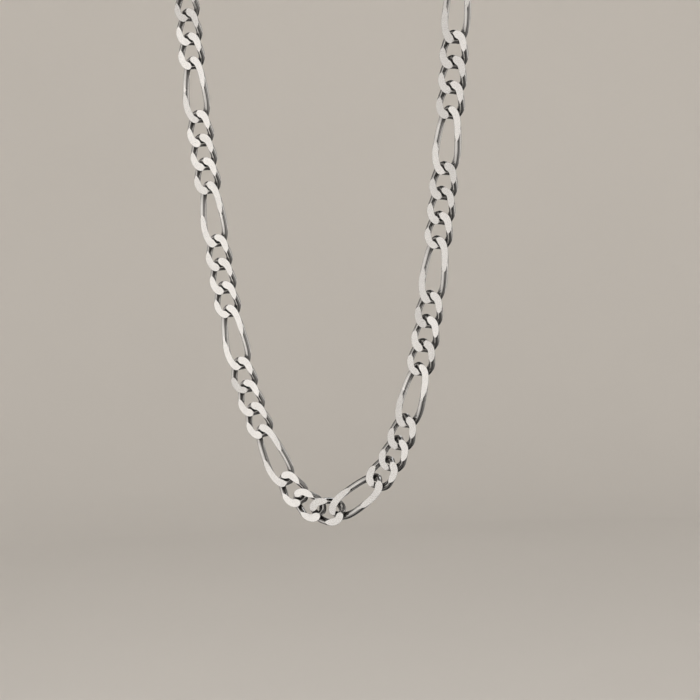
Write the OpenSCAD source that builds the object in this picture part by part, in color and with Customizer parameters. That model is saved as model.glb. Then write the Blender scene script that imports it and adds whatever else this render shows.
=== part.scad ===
// Figaro chain: one long link, then three short ones, all twisted and ground flat on both faces.
// The loop hangs from the nape of a neck. Millimetres, +Z up, the front faces -Y, the nape is at the origin.

/* [Links] */
// Outside width of a link
link_w = 6.6; // [6:0.1:8.5]
// Outside length of a long link
long_l = 16.25; // [13:0.05:20]
// Outside length of a short link
short_l = 8.95; // [8.2:0.05:10.5]
// Width of the wire, seen from the front
wire_w = 1.4; // [1:0.05:1.5]
// Height of the wire before its faces are ground
wire_h = 1.4; // [1.1:0.02:1.5]
// Thickness of a link across its ground faces
link_t = 1.6; // [1.2:0.05:1.8]
// How far a ground face spreads into the link's eye near its ends
spread_in = 0.55; // [0:0.05:0.6]
// How far a ground face spreads outwards there
spread_out = 0.15; // [0:0.05:0.3]
// Space left between linked wires
link_gap = 0.31; // [0.28:0.01:0.4]
// How far each end of a link stands to the side of the chain's middle line
link_lean = 0.12; // [0:0.01:0.13]

/* [Chain] */
// Short links between two long ones
short_n = 3; // [1:1:5]
// Times that the pattern repeats, before the last long link
repeats = 17; // [12:1:20]
// Distance from the middle of the nape to the middle of the clasp, along the chain
clasp_drift = -7.2; // [-20:0.1:20]

/* [Clasp] */
// Outside length of the clasp's loop
clasp_l = 10.5; // [9:0.5:16]
// Outside width of the clasp's loop
clasp_w = 6.4; // [5.5:0.1:8]
// Diameter of the clasp's bar
clasp_bar = 1.8; // [1.4:0.1:2]
// Outside diameter of the clasp's small eye
eye_d = 4; // [3.8:0.1:5]
// Diameter of the small eye's wire
eye_wire = 1.1; // [0.9:0.05:1.2]
// Space between the clasp's loop and its small eye
neck_l = 0.4; // [0.2:0.1:2]
// Diameter of the neck that joins them
neck_d = 1; // [0.6:0.1:1]
// Outside diameter of a jump ring
ring_d = 6.4; // [6:0.1:7.5]
// Diameter of a jump ring's wire
ring_wire = 1; // [0.8:0.05:1.1]
// Space left between a jump ring and what it holds
ring_gap = 0.2; // [0.15:0.01:0.35]

/* [Hidden] */
$fn = 48;
silver = [0.83, 0.83, 0.82];

link_sides = 16;                          // corners of a link, seen from the front
wire_sides = 6;                           // corners of its wire
oval_power = 2.7;                         // 2 is an ellipse, more is fuller
half_in = (link_w - wire_w) / 2;          // half width of the wire's middle line
corner_out = half_in * (1 / cos(180 / link_sides) - 1);  // lets the flat sides keep the oval's run
link_rise = 0.75 * wire_h;                // how far the wire leaves the middle plane at a joint
rise_l = 0.55 * half_in;                  // how far from the end the rise is complete
cross_w = 0.57 * wire_w;                  // half the width over which the wire changes face
spread_l = 1.85 * wire_w;                 // how far from the end the faces stay spread
flare_power = 1.5;                        // how late the wire's sides flare towards its face
small_turn = 0.7;                         // degrees along the oval, to find its direction

// Middle line of the worn chain: nape, round the neck, down the left run, the bottom, up the right run.
// It is scaled as a whole to the length that the links give.
front_y = -86;
route = [
    [0, 0, 0], [-22, -5, -1], [-39.5, -18.5, -4], [-49, -37, -8.5], [-50.5, -55, -15.5],
    [-45.5, -71.5, -24.5], [-39, -82.5, -38],
    [-36, front_y, -52.5], [-35, front_y, -69.5], [-33.5, front_y, -86.5], [-31.5, front_y, -102],
    [-29, front_y, -121.5], [-25, front_y, -142.5], [-20, front_y, -158], [-13, front_y, -171.5],
    [-6, front_y, -177.5], [1, front_y, -177.2], [7, front_y, -173], [14.5, front_y, -165],
    [19.5, front_y, -153], [23.5, front_y, -139.5], [26.5, front_y, -124], [29.5, front_y, -105.5],
    [32, front_y, -86.5], [34, front_y, -70], [35.5, front_y, -52.5],
    [39, -82.5, -38], [45.5, -71.5, -24.5], [50.5, -55, -15.5], [49, -37, -8.5],
    [39.5, -18.5, -4], [22, -5, -1]
];
neck_y = -50;            // middle of the neck
lean = 45;               // how far the faces lean upwards round the neck
drape_low = -72;         // below this height the chain hangs with its faces straight ahead
drape_high = -5;         // above it they face away from the neck
span_steps = 12;         // straight pieces between two points of the route

// A smooth closed curve through the route's points
function span_point(a, b, c, d, t) = (
    2 * b + (c - a) * t + (2 * a - 5 * b + 4 * c - d) * t * t + (3 * b - a - 3 * c + d) * t * t * t
) / 2;
route_n = len(route);
function route_point(j) = let (i = floor(j / span_steps))
    span_point(route[(i + route_n - 1) % route_n], route[i % route_n], route[(i + 1) % route_n],
               route[(i + 2) % route_n], j / span_steps - i);
curve_n = route_n * span_steps;
curve = [for (j = [0:curve_n]) route_point(j)];
curve_s = [for (j = 0, s = 0; j <= curve_n; s = s + norm(curve[min(j + 1, curve_n)] - curve[j]), j = j + 1) s];
curve_x = [for (j = [0:curve_n]) [curve_s[j], curve[j].x]];
curve_y = [for (j = [0:curve_n]) [curve_s[j], curve[j].y]];
curve_z = [for (j = [0:curve_n]) [curve_s[j], curve[j].z]];

// Lengths along the chain, from the middle of one wire to the middle of the next that it meets
joint = wire_w + link_gap;
group_n = short_n + 1;
link_n = repeats * group_n + 1;
ring_in = ring_d / 2 - ring_wire;
end_reach = link_rise + 3.5 * link_lean;  // how far an end link's slanting wire reaches across its jump ring
ring_to_link = sqrt(ring_in * ring_in - end_reach * end_reach) - ring_gap - wire_w / 2;
ring_to_eye = ring_in - ring_gap - eye_wire / 2;
ring_to_bar = ring_in - ring_gap - clasp_bar / 2;
eye_mid = (eye_d - eye_wire) / 2;
eye_to_bar = eye_d / 2 + neck_l + clasp_bar / 2;
bar_run = clasp_l - clasp_bar;
clasp_run = ring_to_link + ring_to_eye + eye_mid + eye_to_bar + bar_run + ring_to_bar + ring_to_link;
long_run = sqrt(pow(long_l - wire_w, 2) - pow(2 * link_lean, 2));
short_run = sqrt(pow(short_l - wire_w, 2) - pow(2 * link_lean, 2));
links_run = link_n * short_run + (repeats + 1) * (long_run - short_run) - (link_n - 1) * joint;
loop_l = links_run + clasp_run;
loop_scale = loop_l / curve_s[curve_n];

function wrap(u) = u - loop_l * floor(u / loop_l);
function at(u) = let (s = wrap(u) / loop_scale)
    [lookup(s, curve_x), lookup(s, curve_y), lookup(s, curve_z)] * loop_scale;

// Across, along and outward directions of a piece that reaches from one point to another
function unit(v) = v / norm(v);
function facing(p) = let (h = min(1, max(0, (p.z - drape_low) / (drape_high - drape_low))),
                          w = h * h * (3 - 2 * h))
    [p.x * w, p.y - neck_y, lean * w];
function axes(p, q) = let (along = unit(q - p), f = facing((p + q) / 2 / loop_scale),
                           out = unit(f - (f * along) * along))
    [cross(along, out), along, out];

// One link lying in its own plane: x across, y along, z out.
// Each long side changes from one face to the other on its way, and both faces are cut flat.
function ease(t) = (t + sin(90 * t)) / 2;
function tanh(t) = (exp(2 * t) - 1) / (exp(2 * t) + 1);
function rise(x, y, half_l) = let (t = max(-1, min(1, y / (half_l - rise_l))))
    link_rise * tanh(x / cross_w) / tanh(half_in / cross_w) * sign(t) * ease(abs(t));
function bulge(c) = sign(c) * pow(abs(c), 2 / oval_power);
function oval(angle, half_l) = let (x = half_in * bulge(cos(angle)), y = half_l * bulge(sin(angle)))
    [x, y, rise(x, y, half_l)];
function wire_point(angle, turn, half_l) = let (
    mid = oval(angle, half_l),
    along = unit(oval(angle + small_turn, half_l) - oval(angle - small_turn, half_l)),
    side = unit([along.y, -along.x, 0]),
    tilt = cross(side, along),
    up = tilt * sign(tilt.z),
    face = mid.z < 0 ? -1 : 1,
    high = min(1, abs(mid.z) / link_rise),
    from_end = (half_l - abs(mid.y)) / spread_l,
    foot = abs(mid.z) - wire_h / 2 * up.z,
    level = min(link_t / 2, abs(mid.z) + face * wire_h / 2 * sin(turn) * up.z),
    flare = high * high * (3 - 2 * high) * exp(-from_end * from_end)
            * pow(max(0, (level - foot) / (link_t / 2 - foot)), flare_power),
    spread = flare * (spread_out * max(0, cos(turn)) - spread_in * max(0, -cos(turn))),
    p = mid + [corner_out * mid.x / half_in, corner_out * mid.y / half_l, 0]
        + (wire_w / 2 * cos(turn) + spread) * side + wire_h / 2 * sin(turn) * up
) [p.x, p.y, max(-link_t / 2, min(link_t / 2, p.z))];
function link_points(l) = [
    for (i = [0:link_sides - 1], j = [0:wire_sides - 1])
        wire_point(360 * i / link_sides, 360 * (j + 0.5) / wire_sides, (l - wire_w) / 2)
];
link_faces = [
    for (i = [0:link_sides - 1], j = [0:wire_sides - 1])
        let (a = i * wire_sides, b = (i + 1) % link_sides * wire_sides, k = (j + 1) % wire_sides)
            each [[a + j, a + k, b + k], [a + j, b + k, b + j]]
];
long_points = link_points(long_l);
short_points = link_points(short_l);

// Place of each link: it is turned a little in its own plane, so that its two ends stand to either side of the
// chain's middle line
function is_long(i) = i % group_n == 0;
function link_start(i) = let (long_before = ceil(i / group_n))
    clasp_drift + clasp_run / 2 + i * (short_run - joint) + long_before * (long_run - short_run);
function placed_link(i) = let (
    run = is_long(i) ? long_run : short_run,
    p = at(link_start(i)),
    q = at(link_start(i) + run),
    d = axes(p, q),
    m = (p + q) / 2,
    turn = atan2(2 * link_lean, run),
    x = cos(turn) * d[0] - sin(turn) * d[1],
    y = cos(turn) * d[1] + sin(turn) * d[0]
) [for (v = is_long(i) ? long_points : short_points) m + v.x * x + v.y * y + v.z * d[2]];

module links(first, last) {
    points = [for (i = [first:last]) each placed_link(i)];
    faces = [for (i = [0:last - first]) each [for (f = link_faces) [for (v = f) v + i * len(long_points)]]];
    polyhedron(points = points, faces = faces, convexity = 10);
}

// Pieces of the fastening, laid along the straight line between the two end links
clasp_from = at(clasp_drift - clasp_run / 2);
clasp_to = at(clasp_drift + clasp_run / 2);
module on_line(distance) {
    d = axes(clasp_from, clasp_to);
    o = (clasp_from + clasp_to) / 2 + (distance - clasp_run / 2) * d[1];
    multmatrix([
        [d[0].x, d[1].x, d[2].x, o.x],
        [d[0].y, d[1].y, d[2].y, o.y],
        [d[0].z, d[1].z, d[2].z, o.z],
        [0, 0, 0, 1]
    ]) children();
}
module wire_ring(d, wire) {
    rotate_extrude() translate([(d - wire) / 2, 0]) circle(d = wire);
}
module jump_ring() {
    rotate([0, 90, 0]) wire_ring(ring_d, ring_wire);
}

split = ceil(link_n / 2);
module chain_left() {
    color(silver) links(0, split - 1);
}
module chain_right() {
    color(silver) links(split, link_n - 1);
}

module half_bend(r) {
    rotate_extrude(angle = 180) translate([r, 0]) circle(d = clasp_bar);
}
// Oval loop of round bar with a small eye at its end
module clasp() {
    bar_x = (clasp_w - clasp_bar) / 2;
    straight = bar_run - 2 * bar_x;
    color(silver) on_line(ring_to_link + ring_to_bar) {
        for (side = [-1, 1])
            translate([side * bar_x, bar_x, 0]) rotate([-90, 0, 0]) cylinder(d = clasp_bar, h = straight);
        translate([0, bar_x, 0]) rotate([0, 0, 180]) half_bend(bar_x);
        translate([0, bar_x + straight, 0]) half_bend(bar_x);
        translate([0, bar_run, 0]) rotate([-90, 0, 0]) cylinder(d = neck_d, h = eye_to_bar - eye_mid);
        translate([0, bar_run + eye_to_bar, 0]) wire_ring(eye_d, eye_wire);
    }
}
// Ring between the clasp's eye and the first link
module clasp_ring() {
    color(silver) on_line(clasp_run - ring_to_link) jump_ring();
}
// Ring on the last link, which the clasp's loop holds
module end_ring() {
    color(silver) on_line(ring_to_link) jump_ring();
}

chain_left();
chain_right();
clasp();
clasp_ring();
end_ring();
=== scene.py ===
import math

import bpy
import numpy as np
from bpy.props import FloatProperty, FloatVectorProperty, IntProperty, PointerProperty
from mathutils import Matrix, Vector


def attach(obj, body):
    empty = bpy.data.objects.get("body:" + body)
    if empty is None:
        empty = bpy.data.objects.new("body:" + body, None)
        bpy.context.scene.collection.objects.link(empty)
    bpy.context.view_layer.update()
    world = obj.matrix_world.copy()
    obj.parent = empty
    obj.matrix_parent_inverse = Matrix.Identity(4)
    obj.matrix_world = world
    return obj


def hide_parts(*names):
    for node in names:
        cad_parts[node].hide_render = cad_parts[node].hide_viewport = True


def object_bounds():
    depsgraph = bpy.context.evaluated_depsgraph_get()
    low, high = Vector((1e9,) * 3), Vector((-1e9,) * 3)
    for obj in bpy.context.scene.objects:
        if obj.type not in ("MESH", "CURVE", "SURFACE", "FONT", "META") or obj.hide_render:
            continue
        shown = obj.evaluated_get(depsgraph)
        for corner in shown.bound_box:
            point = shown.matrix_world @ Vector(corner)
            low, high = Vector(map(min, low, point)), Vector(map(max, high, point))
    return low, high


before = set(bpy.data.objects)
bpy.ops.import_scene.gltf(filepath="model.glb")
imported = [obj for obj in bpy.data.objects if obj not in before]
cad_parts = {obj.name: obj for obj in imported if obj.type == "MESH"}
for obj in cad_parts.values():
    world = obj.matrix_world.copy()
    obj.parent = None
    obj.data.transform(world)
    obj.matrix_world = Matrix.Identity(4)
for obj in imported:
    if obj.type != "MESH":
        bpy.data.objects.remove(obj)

bl_info = {
    "name": "Figaro chain",
    "version": (1, 0, 0),
    "blender": (4, 5, 0),
    "location": "3D View > Sidebar > Figaro chain",
    "description": "Silver figaro necklace chain with its jump rings and clasp, in a pale studio",
    "category": "Object",
}

CAD_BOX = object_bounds()
MM = 0.001
IMAGE_SIZE = 700

# Middle line of the worn chain in millimetres: nape, round the neck, down the left run, the bottom, up the
# right run. It is scaled as a whole to the length that the links give.
FRONT = -86
ROUTE = [
    (0, 0, 0), (-22, -5, -1), (-39.5, -18.5, -4), (-49, -37, -8.5), (-50.5, -55, -15.5),
    (-45.5, -71.5, -24.5), (-39, -82.5, -38),
    (-36, FRONT, -52.5), (-35, FRONT, -69.5), (-33.5, FRONT, -86.5), (-31.5, FRONT, -102),
    (-29, FRONT, -121.5), (-25, FRONT, -142.5), (-20, FRONT, -158), (-13, FRONT, -171.5),
    (-6, FRONT, -177.5), (1, FRONT, -177.2), (7, FRONT, -173), (14.5, FRONT, -165),
    (19.5, FRONT, -153), (23.5, FRONT, -139.5), (26.5, FRONT, -124), (29.5, FRONT, -105.5),
    (32, FRONT, -86.5), (34, FRONT, -70), (35.5, FRONT, -52.5),
    (39, -82.5, -38), (45.5, -71.5, -24.5), (50.5, -55, -15.5), (49, -37, -8.5),
    (39.5, -18.5, -4), (22, -5, -1),
]
NECK_MIDDLE_Y = -50 * MM     # y of the neck's middle
LEAN = 45 * MM               # how far the faces lean upwards round the neck
DRAPE_LOW = -72 * MM         # below this height the chain hangs with its faces straight ahead
DRAPE_HIGH = -5 * MM         # above it they face away from the neck
SPAN_STEPS = 12              # straight pieces between two points of the route

OVAL_POWER = 2.7             # 2 is an ellipse, more is fuller
RISE_SHARE = 0.75            # height of a link's sides over its middle plane, in wire heights
CROSS_SHARE = 0.57           # half the width over which the wire changes face, in wire widths
CROSS_END = 0.55             # where a side has changed face, in half widths from the link's end
END_ZONE = 1.85              # length of a link's end zone, in wire widths
LEAN_REACH = 3.5             # what an end link's lean adds to its reach across its jump ring, in leans
FLARE_POWER = 1.5            # how late the wire's sides flare towards its face
LINK_STATIONS = 96           # sections round one link
FINE_STEPS = 1440            # steps in which an oval is measured
ARC_COLUMNS = 9              # columns on each round side of the wire
FLAT_COLUMNS = 3             # columns on each flat of the wire
EDGE = 0.05 * MM             # width of the softened edge of a ground face
MOST_EDGE = 0.2              # and at most this share of the face's width
GRIND_DEPTH = 0.02 * MM      # how much deeper a face is ground than the link's thickness says
SPOT_X = 2.0 * MM            # a tilted face keeps its height this far to the side of the link's middle
SPOT_Y = 2.2 * MM            # and this far from the link's end
TILT_LIMIT = 1.8             # largest tilt of a face, as a multiple of the usual one
TILT_SEED = 7
LOWEST_CUT = -0.96           # least and most sine of the turn at which a section is cut
HIGHEST_CUT = 0.995
CUT_TURN = 1.4               # a section cut at a smaller turn than this, in radians, has a ground face
CUT_BLEND = 0.25             # turn over which the mark of a ground face fades in
# The next four numbers shape painted shade at the joints, with some patina: a darkening in the recesses and
# on the side of each link's eye.
SHADE_AND_PATINA_SIDE = 0.35           # cosine of the turn at which the recess begins to darken towards the eye
SHADE_AND_PATINA_BLEND = 1.1           # change of the cosine over which it darkens
SHADE_AND_PATINA_FADE = 0.8            # how fast it fades away from the link's end, where the flare fades at 1
SHADE_AND_PATINA_LEAST = 0.35          # its darkness on the side that faces away from the eye

RING_STATIONS = 96           # sections round a jump ring
BAR_COLUMNS = 24             # columns round the wire of the rings and the clasp
BEND_STATIONS = 41           # sections round a half circle of the clasp
NECK_STATIONS = 13           # sections along the clasp's neck
NECK_WAIST = 0.8             # radius of the neck midway, as a share of its radius at the ends
NECK_TIP = 1e-7              # radius to which its two ends are closed

PATCH_SCALE = 420            # scales of the noises on the silver, in features per metre
GRAIN_SCALE = 9000
MOTTLE_SCALE = 2600
SCRATCH_SCALES = (9000, 900, 1300)
SCRATCH_TURNS = (0.3, 0.5, 0.2)
SCRATCH_SHARE = 0.12         # height of the scratches, of the grain and of the mottle in the bump
GRAIN_SHARE = 0.5
MOTTLE_SHARE = 1.2
BUMP_DEPTH = 0.02 * MM

AIM = Vector((4.6, -86.2, -138.3)) * MM  # the point that the camera and the lights look at
WARM, COOL, CREAM = (1.0, 0.965, 0.93), (0.97, 0.985, 1.0), (1.0, 0.96, 0.92)

# Name, direction in degrees round to the right and up, distance, width and height in metres, radiance,
# colour, and whether the silver mirrors it
LIGHTS = [
    ("front_core", (-33, -1), 0.78, 0.19, 0.44, 0.43, WARM, True),
    ("edge_box", (130, -4), 0.9, 0.36, 0.9, 0.62, WARM, True),
    ("top_box", (170, 62), 1.2, 0.8, 0.8, 1.2, COOL, True),
    ("wall_wash", (-10, 38), 2.4, 2.0, 2.0, 11.5, CREAM, False),
]

# Direction in degrees, whether the opposite one counts too, cosines of the turn from it at the step's two
# ends, and the factors of the room's brightness there
ROOM_STEPS = [
    ((-48, 10), False, 0.10, 0.64, 0.26, 0.66),
    ((0, 90), True, 0.40, 0.80, 1.0, 0.45),
    ((130, 0), True, 0.08, 0.24, 0.02, 1.0),
    ((-110, 42), False, 0.88, 0.97, 1.0, 0.1),
]
ROOM_COLOUR = (1.0, 0.955, 0.915, 1)

COVE_SHARE = 0.35            # radius of the floor's rising edge, as a share of the studio's radius
WALL_SHARE = 0.6             # height of the wall above that edge, likewise
STUDIO_SIDES = 96            # sections round the floor and the wall
FLOOR_RINGS = 24             # rings of points on the floor and on its rising edge
COVE_RINGS = 25


def length(name, value, words, low=0.0):
    """A named length in metres, given in millimetres, and its least value in metres."""
    return FloatProperty(
        name=name, description=words, default=value * MM, min=low, unit="LENGTH", precision=5)


def angle_of(name, degrees, words):
    """A named angle in radians, given in degrees."""
    return FloatProperty(
        name=name, description=words, default=math.radians(degrees), subtype="ANGLE", unit="ROTATION")


def colour_of(name, values, words):
    """A named colour."""
    return FloatVectorProperty(
        name=name, description=words, subtype="COLOR", size=3, min=0, max=1, default=values)


def roughness_of(name, value, words):
    """A named roughness from 0.02 to 1."""
    return FloatProperty(name=name, description=words, default=value, min=0.02, max=1, subtype="FACTOR")


class LinkSizes(bpy.types.PropertyGroup):
    """Sizes of the links and of their pattern."""

    width: length("Width", 6.6, "Outside width of a link")
    long_length: length("Long link", 16.25, "Outside length of a long link")
    short_length: length("Short link", 8.95, "Outside length of a short link")
    wire_width: length("Wire width", 1.4, "Width of the wire, seen from the front")
    wire_height: length("Wire height", 1.4, "Height of the wire before its faces are ground")
    thickness: length("Thickness", 1.6, "Thickness of a link across its ground faces")
    spread_in: length("Spread in", 0.55, "How far a ground face spreads into the link's eye near its ends")
    spread_out: length("Spread out", 0.15, "How far a ground face spreads outwards there")
    arm_swell: length("Arm swell", 0.2, "How much thicker the wire is midway along a link's sides")
    gap: length("Gap", 0.31, "Space left between linked wires")
    lean: length("Lean", 0.12, "How far each end of a link stands to the side of the chain's middle line")
    short_links: IntProperty(
        name="Short links", description="Short links between two long ones", default=3, min=1)
    repeats: IntProperty(name="Repeats", description="Times that the pattern repeats", default=17, min=4)
    face_tilt: angle_of("Face tilt", 1.6, "Usual angle by which a ground face misses the link's plane")
    end_tilt: angle_of("End tilt", 0.8, "Angle by which the two ends of a ground face lean opposite ways")


class FasteningSizes(bpy.types.PropertyGroup):
    """Sizes of the clasp and its jump rings."""

    drift: length("Drift", -7.2, "Distance from the middle of the nape to the middle of the clasp", low=-0.02)
    clasp_length: length("Clasp length", 10.5, "Outside length of the clasp's loop")
    clasp_width: length("Clasp width", 6.4, "Outside width of the clasp's loop")
    clasp_bar: length("Clasp bar", 1.8, "Diameter of the clasp's bar")
    eye_diameter: length("Eye", 4, "Outside diameter of the clasp's small eye")
    eye_wire: length("Eye wire", 1.1, "Diameter of the small eye's wire")
    neck_length: length("Neck length", 0.4, "Space between the clasp's loop and its small eye")
    neck_diameter: length("Neck", 1, "Diameter of the neck that joins them")
    ring_diameter: length("Jump ring", 6.4, "Outside diameter of a jump ring")
    ring_wire: length("Ring wire", 1, "Diameter of a jump ring's wire")
    ring_gap: length("Ring gap", 0.2, "Space left between a jump ring and what it holds")


class SilverFinish(bpy.types.PropertyGroup):
    """Colours and finish of the silver."""

    silver: colour_of("Silver", (0.93, 0.92, 0.90), "Colour of polished silver")
    dulled: colour_of("Dulled silver", (0.80, 0.79, 0.775), "Colour of silver where handling has dulled it")
    # Painted shade at the joints, with some patina: a near-black colour for the recesses and the side of each
    # link's eye.
    shade_and_patina: colour_of("Aged silver", (0.10, 0.092, 0.085), "Colour of silver in the recesses at the joints")
    polish: roughness_of("Polish", 0.09, "Roughness of the round wire")
    grind: roughness_of("Grind", 0.24, "Roughness of the ground faces")


class StudioLook(bpy.types.PropertyGroup):
    """Place of the camera and look of the studio."""

    azimuth: angle_of("Azimuth", 25.4, "How far the camera stands round to the right")
    elevation: angle_of("Elevation", 5.5, "How far the camera stands above the horizon")
    roll: angle_of("Roll", -2.05, "How far the camera is turned about its own axis")
    focal_pixels: FloatProperty(
        name="Focal length", description="Focal length in pixels of the square picture", default=2504,
        min=100)
    distance: length("Distance", 601.7, "Distance from the camera to the point that it looks at")
    floor_drop: length("Floor drop", 220, "Height of the lowest link above the floor")
    studio_radius: length("Studio radius", 1900, "Distance from the chain to the studio's rising edge")
    floor: colour_of("Floor", (0.62, 0.60, 0.57), "Colour of the studio's floor and edge")


def smooth_step(t):
    """0 below 0, 1 above 1, and between them 3 t squared less 2 t cubed."""
    t = np.clip(t, 0, 1)
    return t * t * (3 - 2 * t)


def unit(v):
    """Vectors along the last axis divided by their lengths."""
    return v / np.linalg.norm(v, axis=-1, keepdims=True)


def line_of_sight(azimuth, elevation):
    """Unit vector towards an azimuth, round to the right from the front, and an elevation, both in radians.

    Its x is the sine of the azimuth and its y is minus the cosine, both times the cosine of the elevation.
    Its z is the sine of the elevation."""
    level = math.cos(elevation)
    return Vector((math.sin(azimuth) * level, -math.cos(azimuth) * level, math.sin(elevation)))


class Drape:
    """Middle line of the chain as it is worn, with the places of everything that hangs on it."""

    def __init__(self, link, fastening):
        """Lengths along the chain run from the middle of one wire to the middle of the next that it meets."""
        joint = link.wire_width + link.gap
        ring_inside = fastening.ring_diameter / 2 - fastening.ring_wire
        self.rise = RISE_SHARE * link.wire_height
        end_reach = self.rise + LEAN_REACH * link.lean
        ring_depth = math.sqrt(ring_inside ** 2 - end_reach ** 2)
        self.ring_to_link = ring_depth - fastening.ring_gap - link.wire_width / 2
        self.ring_to_eye = ring_inside - fastening.ring_gap - fastening.eye_wire / 2
        self.ring_to_bar = ring_inside - fastening.ring_gap - fastening.clasp_bar / 2
        self.eye_middle = (fastening.eye_diameter - fastening.eye_wire) / 2
        self.eye_to_bar = fastening.eye_diameter / 2 + fastening.neck_length + fastening.clasp_bar / 2
        self.bar_run = fastening.clasp_length - fastening.clasp_bar
        self.clasp_run = (2 * self.ring_to_link + self.ring_to_eye + self.eye_middle + self.eye_to_bar
                          + self.bar_run + self.ring_to_bar)
        group = link.short_links + 1
        count = link.repeats * group + 1
        self.is_long = np.arange(count) % group == 0
        self.lengths = np.where(self.is_long, link.long_length, link.short_length)
        middle_lengths = self.lengths - link.wire_width
        self.reach = np.sqrt(middle_lengths ** 2 - 4 * link.lean ** 2)
        sideways = np.full_like(self.reach, 2 * link.lean)
        self.lean = np.stack([self.reach, sideways], -1) / middle_lengths[:, None]
        steps = self.reach - joint
        self.starts = fastening.drift + self.clasp_run / 2 + np.concatenate([[0], np.cumsum(steps[:-1])])
        self.loop = steps.sum() + joint + self.clasp_run
        self.curve, self.along = smooth_loop(np.array(ROUTE) * MM, SPAN_STEPS)
        self.scale = self.loop / self.along[-1]

    def at(self, distance):
        """Points at these distances along the chain from the middle of the nape, by linear interpolation."""
        s = np.mod(distance, self.loop) / self.scale
        return self.scale * np.stack([np.interp(s, self.along, self.curve[:, k]) for k in range(3)], -1)

    def axes(self, start, end):
        """Across, along and outward directions of pieces that reach from start to end.

        Outward is the facing direction, less its part along the piece. It points straight ahead on the
        hanging run and away from the neck, leaning upwards, round the nape."""
        along = unit(end - start)
        middle = (start + end) / 2 / self.scale
        worn = smooth_step((middle[..., 2] - DRAPE_LOW) / (DRAPE_HIGH - DRAPE_LOW))
        facing = np.stack([middle[..., 0] * worn, middle[..., 1] - NECK_MIDDLE_Y, LEAN * worn], -1)
        out = unit(facing - (facing * along).sum(-1, keepdims=True) * along)
        return np.stack([np.cross(along, out), along, out], -2)

    def place_links(self):
        """Middles and axes of all the links. Each link is turned a little in its own plane, so that its two
        ends stand to either side of the middle line."""
        start = self.at(self.starts)
        end = self.at(self.starts + self.reach)
        across, along, out = np.moveaxis(self.axes(start, end), 1, 0)
        c, s = self.lean[:, :1], self.lean[:, 1:]
        return (start + end) / 2, np.stack([c * across - s * along, c * along + s * across, out], 1)

    def place_fastening(self, drift):
        """The line between the two end links, as its first point and axes."""
        start = self.at(np.array(drift - self.clasp_run / 2))
        end = self.at(np.array(drift + self.clasp_run / 2))
        axes = self.axes(start, end)
        return (start + end) / 2 - axes[1] * self.clasp_run / 2, axes


def smooth_loop(points, steps):
    """A closed Catmull-Rom curve through the points, with the length along it at each of its own points."""
    a, b, c, d = (np.roll(points, k, axis=0)[:, None] for k in (1, 0, -1, -2))
    t = (np.arange(steps) / steps)[None, :, None]
    curve = (2 * b + (c - a) * t + (2 * a - 5 * b + 4 * c - d) * t ** 2
             + (3 * b - a - 3 * c + d) * t ** 3) / 2
    curve = np.concatenate([curve.reshape(-1, 3), points[:1]])
    pieces = np.linalg.norm(np.diff(curve, axis=0), axis=1)
    return curve, np.concatenate([[0], np.cumsum(pieces)])


def oval(angle, half_length, link, rise):
    """Middle line of the wire: x is the half width times the cosine, and y the half length times the sine,
    each to the power of 2 over OVAL_POWER with its sign kept.

    The height is the rise times the hyperbolic tangent of x, brought to 1 at the half width, times the mean
    of t and of the sine of t quarter turns. Here t is y over the half length less CROSS_END half widths, kept
    within -1 and 1. So each long side lies towards one face at one end of the link, and towards the other
    face at the other end."""
    half_width = (link.width - link.wire_width) / 2
    cross = CROSS_SHARE * link.wire_width
    c, s = np.cos(angle), np.sin(angle)
    x = half_width * np.sign(c) * np.abs(c) ** (2 / OVAL_POWER)
    y = half_length * np.sign(s) * np.abs(s) ** (2 / OVAL_POWER)
    t = np.clip(y / (half_length - CROSS_END * half_width), -1, 1)
    z = rise * np.tanh(x / cross) / np.tanh(half_width / cross) * (t + np.sin(t * np.pi / 2)) / 2
    return np.stack([x, y, z], -1)


def even_angles(half_length, link, rise):
    """Angles of the stations round a link, so that stations crowd a little towards its ends: each takes the
    same share of the sum of the square roots of short steps along the oval."""
    angle = np.linspace(0, 2 * np.pi, FINE_STEPS + 1)
    step = np.linalg.norm(np.diff(oval(angle, half_length, link, rise), axis=0), axis=1)
    run = np.concatenate([[0], np.cumsum(np.sqrt(step))])
    return np.interp(np.arange(LINK_STATIONS) / LINK_STATIONS * run[-1], run, angle)


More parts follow.
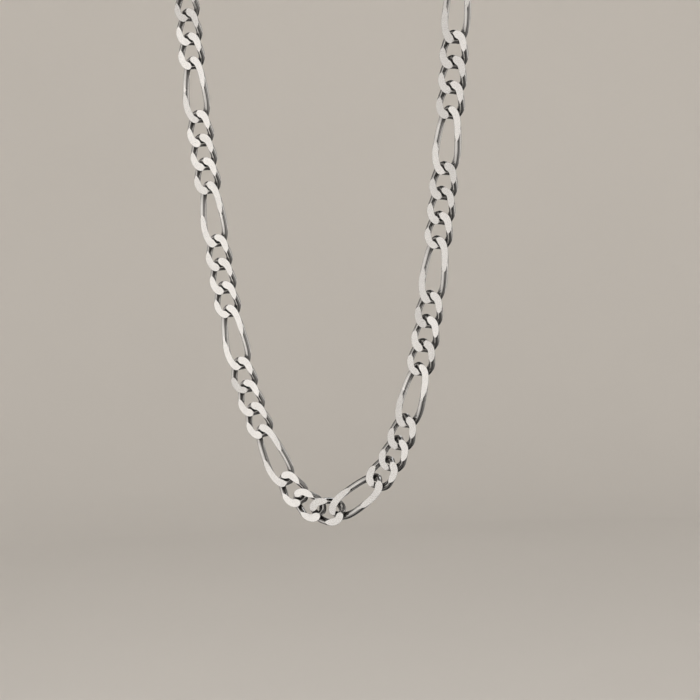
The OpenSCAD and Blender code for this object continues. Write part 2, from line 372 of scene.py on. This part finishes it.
def link_surface(lengths, tilts, link, rise):
    """Closed surfaces of links in their own planes, x across, y along, z out.

    Gives points, normals, a mark that is 1 on ground faces, and a mark for the painted shade and patina at
    the joints: a darkening in their recesses and on the side of each link's eye.

    Each section is an ellipse that stands square to the middle line. It is cut at the height of the ground
    face, and its sides flare towards that face near the link's ends. The cut leaves two round sides and two
    flats. A flat that isn't cut at all shrinks to a strip too narrow to see. tilts has small slopes, across
    and along, for both ends of the front and back face of each link."""
    count = len(lengths)
    half_length = (lengths - link.wire_width)[:, None] / 2
    angles = {v: even_angles((v - link.wire_width) / 2, link, rise) for v in set(lengths.tolist())}
    angle = np.array([angles[v] for v in lengths.tolist()])
    nudge = 2e-3
    middle = oval(angle, half_length, link, rise)
    along = unit(oval(angle + nudge, half_length, link, rise) - oval(angle - nudge, half_length, link, rise))
    side = unit(np.stack([along[..., 1], -along[..., 0], np.zeros_like(angle)], -1))
    up = np.cross(side, along)
    from_end = (half_length - np.abs(middle[..., 1])) / (END_ZONE * link.wire_width)
    swell = link.arm_swell / 2 * (1 - np.exp(-from_end ** 2))
    half_thick = link.thickness / 2
    half_wide, half_high = link.wire_width / 2 + swell, link.wire_height / 2 + swell
    standing = half_high * up[..., 2]
    height = np.abs(middle[..., 2])

    # Slope of the ground plane at each station and the place where it keeps its height, for both faces
    near_end = (middle[..., 1] > 0).astype(int)
    row = np.arange(count)[:, None]
    spot_y = np.sign(middle[..., 1]) * (half_length - SPOT_Y)
    tilted, normals = [], []
    for face, sign in enumerate((1, -1)):
        slope = tilts[row, face, near_end]
        tilted.append((slope, sign * np.sign(middle[..., 1]) * SPOT_X))
        outward = [-sign * slope[..., 0], -sign * slope[..., 1], np.full_like(angle, sign)]
        normals.append(unit(np.stack(outward, -1)))

    def plane(face, x, y):
        """Distance of the ground plane from the link's middle plane: half the thickness, and each slope times
        the distance from the place where the plane keeps its height."""
        slope, spot_x = tilted[face]
        shape = slope.shape[:2] + (1,) * (x.ndim - 2)
        rise_x = slope[..., 0].reshape(shape) * (x - spot_x.reshape(shape))
        rise_y = slope[..., 1].reshape(shape) * (y - spot_y.reshape(shape))
        return half_thick + rise_x + rise_y - GRIND_DEPTH

    # Turn at which the section meets each ground plane, measured from level
    ends = []
    for face, sign in enumerate((1, -1)):
        above = plane(face, middle[..., 0], middle[..., 1]) - sign * middle[..., 2]
        ends.append(np.arcsin(np.clip(above / standing, LOWEST_CUT, HIGHEST_CUT)))
    t = np.linspace(0, 1, ARC_COLUMNS)
    right = -ends[1][..., None] + (ends[0] + ends[1])[..., None] * t
    left = np.pi - ends[0][..., None] + (ends[0] + ends[1])[..., None] * t

    near = smooth_step(height / rise) * np.exp(-from_end ** 2)
    face_sign = np.where(middle[..., 2] < 0, -1.0, 1.0)
    foot = height - standing

    def round_side(turn):
        """Points of the flared ellipse at these turns. The flare is a power of the height over the ellipse's
        foot, and goes inwards on the eye's side and outwards on the other."""
        level = height[..., None] + (face_sign * standing)[..., None] * np.sin(turn)
        share = np.clip((level - foot[..., None]) / (half_thick - foot)[..., None], 0, 1) ** FLARE_POWER
        c = np.cos(turn)
        widened = link.spread_out * np.maximum(c, 0) - link.spread_in * np.maximum(-c, 0)
        spread = near[..., None] * share * widened
        across = half_wide[..., None] * c + spread
        lift = half_high[..., None] * np.sin(turn)
        return (middle[..., None, :] + across[..., None] * side[..., None, :]
                + lift[..., None] * up[..., None, :])

    arcs = [round_side(right), round_side(left)]
    arc_normals = []
    for arc in arcs:
        round_link = np.roll(arc, -1, axis=1) - np.roll(arc, 1, axis=1)
        arc_normals.append(unit(np.cross(round_link, np.gradient(arc, axis=2))))

    # Flats between the round sides: top from right to left, bottom from left to right
    flats = []
    for face, sign, first, last in ((0, 1, arcs[0][:, :, -1], arcs[1][:, :, 0]),
                                    (1, -1, arcs[1][:, :, -1], arcs[0][:, :, 0])):
        width = np.linalg.norm(last - first, axis=-1)
        inset = np.minimum(EDGE / width, MOST_EDGE)[..., None]
        share = np.concatenate([inset, np.full_like(inset, 0.5), 1 - inset], -1)[..., None]
        flat = first[..., None, :] * (1 - share) + last[..., None, :] * share
        cut = ends[face] < CUT_TURN
        level = sign * plane(face, flat[..., 0], flat[..., 1])
        flat[..., 2] = np.where(cut[..., None], level, flat[..., 2])
        flats.append(flat)
    points = np.concatenate([arcs[0], flats[0], arcs[1], flats[1]], 2)
    flat_normals = [np.repeat(n[:, :, None], FLAT_COLUMNS, axis=2) for n in normals]
    normal = np.concatenate([arc_normals[0], flat_normals[0], arc_normals[1], flat_normals[1]], 2)
    ground = np.zeros(points.shape[:3])
    for face, first in ((0, ARC_COLUMNS), (1, 2 * ARC_COLUMNS + FLAT_COLUMNS)):
        ground[:, :, first:first + FLAT_COLUMNS] = smooth_step((CUT_TURN - ends[face]) / CUT_BLEND)[..., None]
    level_turn = np.zeros(right.shape[:2] + (FLAT_COLUMNS,))
    turn = np.concatenate([right, level_turn, left, level_turn], 2)

    # The painted shade and patina lie on the side of the link's eye, where shade falls, and fade away from
    # the link's ends
    inward = smooth_step((SHADE_AND_PATINA_SIDE - np.cos(turn)) / SHADE_AND_PATINA_BLEND)
    fade = np.exp(-(from_end * SHADE_AND_PATINA_FADE) ** 2)[..., None]
    shade_and_patina_mask = (1 - ground) * fade * (SHADE_AND_PATINA_LEAST + (1 - SHADE_AND_PATINA_LEAST) * inward)
    return points, normal, ground, shade_and_patina_mask


def grid_faces(rings, columns, first=0):
    """Quads of a closed grid whose vertices run ring by ring, each with this many columns."""
    i, j = np.meshgrid(np.arange(rings), np.arange(columns), indexing="ij")
    i2, j2 = (i + 1) % rings, (j + 1) % columns
    quads = np.stack([i * columns + j, i2 * columns + j, i2 * columns + j2, i * columns + j2], -1)
    return quads.reshape(-1, 4) + first


def make_mesh(name, points, faces, normals=None, marks=None):
    """A smooth mesh object from arrays, with its own normals and named numbers on its vertices if given."""
    mesh = bpy.data.meshes.new(name)
    mesh.from_pydata(points.reshape(-1, 3), [], faces)
    mesh.update()
    mesh.polygons.foreach_set("use_smooth", np.ones(len(mesh.polygons), dtype=bool))
    for mark, values in (marks or {}).items():
        layer = mesh.attributes.new(mark, "FLOAT", "POINT")
        layer.data.foreach_set("value", values.ravel().astype(np.float32))
    if normals is not None:
        mesh.normals_split_custom_set_from_vertices(normals.reshape(-1, 3).tolist())
    piece = bpy.data.objects.new(name, mesh)
    bpy.context.scene.collection.objects.link(piece)
    return piece


def fit_piece(piece, node, material):
    """Lets a finished piece stand for its node and take the given finish."""
    piece.data.materials.append(material)
    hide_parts(node)
    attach(piece, "root")


def node_input(nodes, links, kind, inputs, **settings):
    """A new shader node with its settings, its plain inputs set and its linked inputs joined."""
    made = nodes.new(kind)
    for name, value in settings.items():
        setattr(made, name, value)
    for name, value in inputs.items():
        if isinstance(value, bpy.types.NodeSocket):
            links.new(value, made.inputs[name])
        else:
            made.inputs[name].default_value = value
    return made


def silver_material(name, finish, ground_faces):
    """Polished silver, dulled in soft patches and finely scratched. Ground faces carry a fine, satin grain,
    and painted shade, with some patina, darkens the recesses at the joints to a near-black colour."""
    material = bpy.data.materials.new(name)
    material.use_nodes = True
    nodes, links = material.node_tree.nodes, material.node_tree.links
    shader = nodes["Principled BSDF"]
    place = nodes.new("ShaderNodeTexCoord").outputs["Object"]

    def noise(scale, detail, rough=0.5):
        """A noise over the metal, from 0 to 1."""
        inputs = {"Vector": place, "Scale": scale, "Detail": detail, "Roughness": rough}
        return node_input(nodes, links, "ShaderNodeTexNoise", inputs).outputs["Fac"]

    def ranged(value, low, high, to_low, to_high):
        """The value brought evenly from low and high to two others, and kept between them."""
        return node_input(nodes, links, "ShaderNodeMapRange",
                          {"Value": value, "From Min": low, "From Max": high, "To Min": to_low,
                           "To Max": to_high}).outputs["Result"]

    def math_of(operation, a, b):
        """One sum or product."""
        return node_input(nodes, links, "ShaderNodeMath", {0: a, 1: b}, operation=operation).outputs[0]

    patches = noise(PATCH_SCALE, 3)
    grain = noise(GRAIN_SCALE, 2, 0.6)
    mottle = noise(MOTTLE_SCALE, 2, 0.6)
    stretched = node_input(nodes, links, "ShaderNodeMapping",
                           {"Vector": place, "Rotation": SCRATCH_TURNS, "Scale": SCRATCH_SCALES})
    scratches = node_input(nodes, links, "ShaderNodeTexNoise",
                           {"Vector": stretched.outputs[0], "Scale": 1.0, "Detail": 2}).outputs["Fac"]
    dull = ranged(patches, 0.45, 0.75, 0.0, 0.45)
    tint = node_input(nodes, links, "ShaderNodeMix", {}, data_type="RGBA")
    links.new(dull, tint.inputs["Factor"])
    tint.inputs["A"].default_value = (*finish.silver, 1)
    tint.inputs["B"].default_value = (*finish.dulled, 1)
    colour = tint.outputs["Result"]
    # Painted shade at the joints, with some patina: the mask mixes the silver towards a near-black colour in
    # the recesses and on the side of each link's eye.
    if ground_faces:
        shade_and_patina_mask = node_input(nodes, links, "ShaderNodeAttribute", {}, attribute_name="shade_and_patina_mask").outputs["Fac"]
        shade_and_patina = node_input(nodes, links, "ShaderNodeMix", {}, data_type="RGBA")
        deep = ranged(shade_and_patina_mask, 0.0, 0.62, 0.0, 1.0)
        links.new(math_of("MULTIPLY", deep, ranged(patches, 0.3, 0.7, 0.75, 1.0)), shade_and_patina.inputs["Factor"])
        links.new(colour, shade_and_patina.inputs["A"])
        shade_and_patina.inputs["B"].default_value = (*finish.shade_and_patina, 1)
        colour = shade_and_patina.outputs["Result"]
    links.new(colour, shader.inputs["Base Color"])
    shader.inputs["Metallic"].default_value = 1
    polished = ranged(patches, 0.35, 0.75, finish.polish * 0.7, finish.polish * 1.7)
    bump_height = math_of("MULTIPLY", scratches, SCRATCH_SHARE)
    roughness = polished
    if ground_faces:
        ground = node_input(nodes, links, "ShaderNodeAttribute", {}, attribute_name="ground").outputs["Fac"]
        satin = ranged(math_of("ADD", grain, mottle), 0.7, 1.3, finish.grind * 0.7, finish.grind * 1.35)
        mixed = node_input(nodes, links, "ShaderNodeMix", {"Factor": ground}, data_type="FLOAT")
        links.new(polished, mixed.inputs["A"])
        links.new(satin, mixed.inputs["B"])
        roughness = mixed.outputs["Result"]
        uneven = math_of("ADD", math_of("MULTIPLY", grain, GRAIN_SHARE),
                         math_of("MULTIPLY", mottle, MOTTLE_SHARE))
        bump_height = math_of("ADD", bump_height, math_of("MULTIPLY", uneven, ground))
    links.new(roughness, shader.inputs["Roughness"])
    bump = node_input(nodes, links, "ShaderNodeBump",
                      {"Height": bump_height, "Strength": 0.35, "Distance": BUMP_DEPTH})
    links.new(bump.outputs["Normal"], shader.inputs["Normal"])
    return material


def full_turn(steps):
    """Angles from 0 to a full turn in equal steps, without the last."""
    return np.arange(steps) * 2 * np.pi / steps


def ring_points(diameter, wire):
    """A torus about z: a circle of the wire's radius carried round a circle of the ring's middle radius."""
    a, b = full_turn(RING_STATIONS)[:, None], full_turn(BAR_COLUMNS)[None]
    r = (diameter - wire) / 2 + wire / 2 * np.cos(b)
    return np.stack([r * np.cos(a), r * np.sin(a), wire / 2 * np.sin(b) + 0 * a], -1)


def loop_points(length_y, width, bar):
    """An oval loop of round bar: two straights joined by half circles, with the bar's circle carried round
    them.

    The loop lies in the x and y plane, and its near end's middle line crosses the y axis at 0."""
    r = (width - bar) / 2
    a = np.linspace(0, np.pi, BEND_STATIONS)
    straight = length_y - bar - 2 * r
    far = np.stack([r * np.cos(a), r + straight + r * np.sin(a)], -1)
    near = np.stack([-r * np.cos(a), r - r * np.sin(a)], -1)
    path = np.concatenate([far, near])
    outward = np.concatenate([np.stack([np.cos(a), np.sin(a)], -1), np.stack([-np.cos(a), -np.sin(a)], -1)])
    b = full_turn(BAR_COLUMNS)[None, :, None]
    flat = path[:, None] + bar / 2 * np.cos(b) * outward[:, None]
    return np.concatenate([flat, bar / 2 * np.sin(b) + 0 * flat[..., :1]], -1)


def neck_points(start, end, radius):
    """A waisted closed neck along y: its radius is least midway and grows as the square of the distance from
    there."""
    t = np.linspace(-1, 1, NECK_STATIONS)
    reach = radius * (NECK_WAIST + (1 - NECK_WAIST) * t ** 2)
    reach[[0, -1]] = NECK_TIP
    t[[0, -1]] = t[[1, -2]]
    b = full_turn(BAR_COLUMNS)[None]
    y = (start + end) / 2 + (end - start) / 2 * t[:, None] + 0 * b
    return np.stack([reach[:, None] * np.sin(b), y, reach[:, None] * np.cos(b)], -1)


class FIGARO_OT_links(bpy.types.Operator):
    """Make the two runs of twisted links with their ground faces"""

    bl_idname = "figaro.links"
    bl_label = "Links"

    def execute(self, context):
        scene = context.scene
        link = scene.figaro_links
        drape = Drape(link, scene.figaro_fastening)
        middles, axes = drape.place_links()
        count = len(middles)
        rng = np.random.default_rng(TILT_SEED)
        tilts = np.clip(rng.normal(0, 1, (count, 2, 2, 2)), -TILT_LIMIT, TILT_LIMIT) * link.face_tilt
        tilts[..., 0] += np.array([-1, 1]) * link.end_tilt
        points, normals, ground, shade_and_patina_mask = link_surface(drape.lengths, tilts, link, drape.rise)
        columns = points.shape[2]
        shape = (count, LINK_STATIONS * columns, 3)
        points = points.reshape(shape) @ axes + middles[:, None]
        normals = normals.reshape(shape) @ axes
        silver = silver_material("ground_silver", scene.figaro_finish, ground_faces=True)
        split = math.ceil(count / 2)
        for name, chosen in (("chain_left", slice(0, split)), ("chain_right", slice(split, count))):
            some = points[chosen]
            firsts = np.arange(len(some)) * shape[1]
            faces = np.concatenate([grid_faces(LINK_STATIONS, columns, first) for first in firsts])
            # The second mark carries the painted shade and patina at the joints.
            marks = {"ground": ground[chosen], "shade_and_patina_mask": shade_and_patina_mask[chosen]}
            piece = make_mesh(name + "_links", some, faces, normals[chosen], marks)
            fit_piece(piece, name, silver)
        return {"FINISHED"}


class FIGARO_OT_rings(bpy.types.Operator):
    """Make the two jump rings at the ends of the chain"""

    bl_idname = "figaro.rings"
    bl_label = "Jump rings"

    def execute(self, context):
        scene = context.scene
        fastening = scene.figaro_fastening
        drape = Drape(scene.figaro_links, fastening)
        origin, axes = drape.place_fastening(fastening.drift)
        silver = silver_material("ring_silver", scene.figaro_finish, ground_faces=False)
        ring = ring_points(fastening.ring_diameter, fastening.ring_wire)
        faces = grid_faces(*ring.shape[:2])
        upright = ring[..., [2, 0, 1]]
        places = {"clasp_ring": drape.clasp_run - drape.ring_to_link, "end_ring": drape.ring_to_link}
        for name, distance in places.items():
            points = (upright + [0, distance, 0]) @ axes + origin
            fit_piece(make_mesh(name + "_wire", points, faces), name, silver)
        return {"FINISHED"}


class FIGARO_OT_clasp(bpy.types.Operator):
    """Make the plain clasp: an oval loop of bar with a small eye"""

    bl_idname = "figaro.clasp"
    bl_label = "Clasp"

    def execute(self, context):
        scene = context.scene
        fastening = scene.figaro_fastening
        drape = Drape(scene.figaro_links, fastening)
        origin, axes = drape.place_fastening(fastening.drift)
        silver = silver_material("clasp_silver", scene.figaro_finish, ground_faces=False)
        eye_y = drape.bar_run + drape.eye_to_bar
        shells = [
            loop_points(fastening.clasp_length, fastening.clasp_width, fastening.clasp_bar),
            ring_points(fastening.eye_diameter, fastening.eye_wire) + [0, eye_y, 0],
        ]
        faces, points, first = [], [], 0
        for shell in shells:
            faces.append(grid_faces(*shell.shape[:2], first))
            points.append(shell.reshape(-1, 3))
            first += len(points[-1])
        neck = neck_points(drape.bar_run, eye_y - drape.eye_middle, fastening.neck_diameter / 2)
        rings, columns = neck.shape[:2]
        quads = grid_faces(rings, columns, first)
        faces.append(quads[:(rings - 1) * columns])
        points.append(neck.reshape(-1, 3))
        placed = (np.concatenate(points) + [0, drape.ring_to_link + drape.ring_to_bar, 0]) @ axes + origin
        piece = make_mesh("clasp_body", placed, np.concatenate(faces))
        fit_piece(piece, "clasp", silver)
        return {"FINISHED"}


def plain_material(name, colour, roughness, shade=0.04):
    """A matt colour that drifts a little in soft, broad patches."""
    material = bpy.data.materials.new(name)
    material.use_nodes = True
    nodes, links = material.node_tree.nodes, material.node_tree.links
    shader = nodes["Principled BSDF"]
    place = nodes.new("ShaderNodeTexCoord").outputs["Object"]
    drift = node_input(nodes, links, "ShaderNodeTexNoise", {"Vector": place, "Scale": 2.5, "Detail": 3})
    tint = node_input(nodes, links, "ShaderNodeMix", {}, data_type="RGBA")
    links.new(drift.outputs["Fac"], tint.inputs["Factor"])
    tint.inputs["A"].default_value = (*[c * (1 - shade) for c in colour], 1)
    tint.inputs["B"].default_value = (*[c * (1 + shade) for c in colour], 1)
    links.new(tint.outputs["Result"], shader.inputs["Base Color"])
    shader.inputs["Roughness"].default_value = roughness
    return material


def soft_light(name, direction, distance, width, height, radiance, colour, mirrored):
    """A rectangular light that shines at the aim from a direction given in degrees.

    Its power is pi times its area times its radiance, which the renderer shows about 1.7 times as bright."""
    a, e = (math.radians(v) for v in direction)
    towards = line_of_sight(a, e)
    right = Vector((math.cos(a), math.sin(a), 0))
    light = bpy.data.lights.new(name, "AREA")
    light.shape = "RECTANGLE"
    light.size, light.size_y = width, height
    light.energy = math.pi * width * height * radiance
    light.color = colour
    lamp = bpy.data.objects.new(name, light)
    bpy.context.scene.collection.objects.link(lamp)
    matrix = Matrix((right, towards.cross(right), towards)).transposed().to_4x4()
    matrix.translation = AIM + towards * distance
    lamp.matrix_world = matrix
    lamp.visible_camera = False
    lamp.visible_glossy = mirrored


class FIGARO_OT_studio(bpy.types.Operator):
    """Make the pale floor with its rising edge, the soft lights and the camera"""

    bl_idname = "figaro.studio"
    bl_label = "Studio"

    def execute(self, context):
        look = context.scene.figaro_studio
        lowest = CAD_BOX[0].z
        self.make_floor(look, lowest - look.floor_drop)
        for light in LIGHTS:
            soft_light(*light)
        self.make_room()
        self.make_camera(look)
        context.scene.view_settings.view_transform = "Standard"
        return {"FINISHED"}

    def make_floor(self, look, level):
        """A disc, and a wall that rises round it in a quarter circle, as profiles turned about the z axis.
        The silver mirrors neither of them."""
        radius = look.studio_radius
        cove = COVE_SHARE * radius
        bend = np.linspace(0, np.pi / 2, COVE_RINGS)
        flat = np.linspace(0, radius - cove, FLOOR_RINGS)
        profiles = {
            "floor": (flat, 0 * flat),
            "wall": (np.append(radius - cove + cove * np.sin(bend), radius),
                     np.append(cove - cove * np.cos(bend), cove + WALL_SHARE * radius)),
        }
        paint = plain_material("studio_paint", look.floor, roughness=0.75)
        a = full_turn(STUDIO_SIDES)[:, None]
        for name, (r, z) in profiles.items():
            points = np.stack([r * np.cos(a), r * np.sin(a), level + z + 0 * a], -1)
            columns = len(r)
            quads = grid_faces(STUDIO_SIDES, columns)
            quads = quads[quads[:, 0] % columns != columns - 1]
            piece = make_mesh(name, points, quads)
            piece.data.materials.append(paint)
            piece.visible_glossy = False

    def make_room(self):
        """A room whose brightness is the product of ROOM_STEPS. Each step is a factor that rises or falls
        evenly with the cosine of the turn from its direction.

        The room is brightest ahead on the left, and dimmer above and below. A dark strip stands upright ahead
        on the right and goes overhead to behind on the left, and a dark patch is high on the left."""
        world = bpy.data.worlds.new("room")
        bpy.context.scene.world = world
        world.use_nodes = True
        nodes, links = world.node_tree.nodes, world.node_tree.links
        ray = nodes.new("ShaderNodeTexCoord").outputs["Generated"]
        strength = None
        for direction, both_ways, low, high, to_low, to_high in ROOM_STEPS:
            middle = line_of_sight(*(math.radians(v) for v in direction))
            towards = node_input(nodes, links, "ShaderNodeVectorMath", {0: ray, 1: middle},
                                 operation="DOT_PRODUCT").outputs["Value"]
            if both_ways:
                towards = node_input(nodes, links, "ShaderNodeMath", {0: towards},
                                     operation="ABSOLUTE").outputs[0]
            glow = node_input(nodes, links, "ShaderNodeMapRange",
                              {"Value": towards, "From Min": low, "From Max": high,
                               "To Min": to_low, "To Max": to_high}).outputs["Result"]
            strength = glow if strength is None else node_input(
                nodes, links, "ShaderNodeMath", {0: strength, 1: glow}, operation="MULTIPLY").outputs[0]
        links.new(strength, nodes["Background"].inputs["Strength"])
        nodes["Background"].inputs["Color"].default_value = ROOM_COLOUR

    def make_camera(self, look):
        """A camera on the line of sight given by its angles, rolled about it."""
        a, r = look.azimuth, look.roll
        back = line_of_sight(a, look.elevation)
        right = Vector((math.cos(a), math.sin(a), 0))
        up = back.cross(right)
        turned_right = math.cos(r) * right + math.sin(r) * up
        turned_up = back.cross(turned_right)
        lens = bpy.data.cameras.new("camera")
        lens.sensor_width = 36
        lens.lens = look.focal_pixels / IMAGE_SIZE * lens.sensor_width
        lens.clip_start = 0.01
        camera = bpy.data.objects.new("camera", lens)
        bpy.context.scene.collection.objects.link(camera)
        matrix = Matrix((turned_right, turned_up, back)).transposed().to_4x4()
        matrix.translation = AIM + back * look.distance
        camera.matrix_world = matrix
        bpy.context.scene.camera = camera


class FIGARO_PT_panel(bpy.types.Panel):
    """Lists the pieces of the chain and their sizes"""

    bl_idname = "FIGARO_PT_panel"
    bl_label = "Figaro chain"
    bl_space_type = "VIEW_3D"
    bl_region_type = "UI"
    bl_category = "Figaro chain"

    def draw(self, context):
        scene = context.scene
        for group in (scene.figaro_links, scene.figaro_fastening, scene.figaro_finish, scene.figaro_studio):
            box = self.layout.box()
            for name in group.__annotations__:
                box.prop(group, name)
        for operator in OPERATORS:
            self.layout.operator(operator.bl_idname)


GROUPS = {
    "figaro_links": LinkSizes,
    "figaro_fastening": FasteningSizes,
    "figaro_finish": SilverFinish,
    "figaro_studio": StudioLook,
}
OPERATORS = (FIGARO_OT_links, FIGARO_OT_rings, FIGARO_OT_clasp, FIGARO_OT_studio)


def register():
    for name, group in GROUPS.items():
        bpy.utils.register_class(group)
        setattr(bpy.types.Scene, name, PointerProperty(type=group))
    for part in (*OPERATORS, FIGARO_PT_panel):
        bpy.utils.register_class(part)


def unregister():
    for part in (FIGARO_PT_panel, *reversed(OPERATORS)):
        bpy.utils.unregister_class(part)
    for name, group in reversed(GROUPS.items()):
        delattr(bpy.types.Scene, name)
        bpy.utils.unregister_class(group)


def main():
    """Makes every piece in order."""
    register()
    bpy.ops.figaro.links()
    bpy.ops.figaro.rings()
    bpy.ops.figaro.clasp()
    bpy.ops.figaro.studio()


if __name__ == "__main__":
    main()
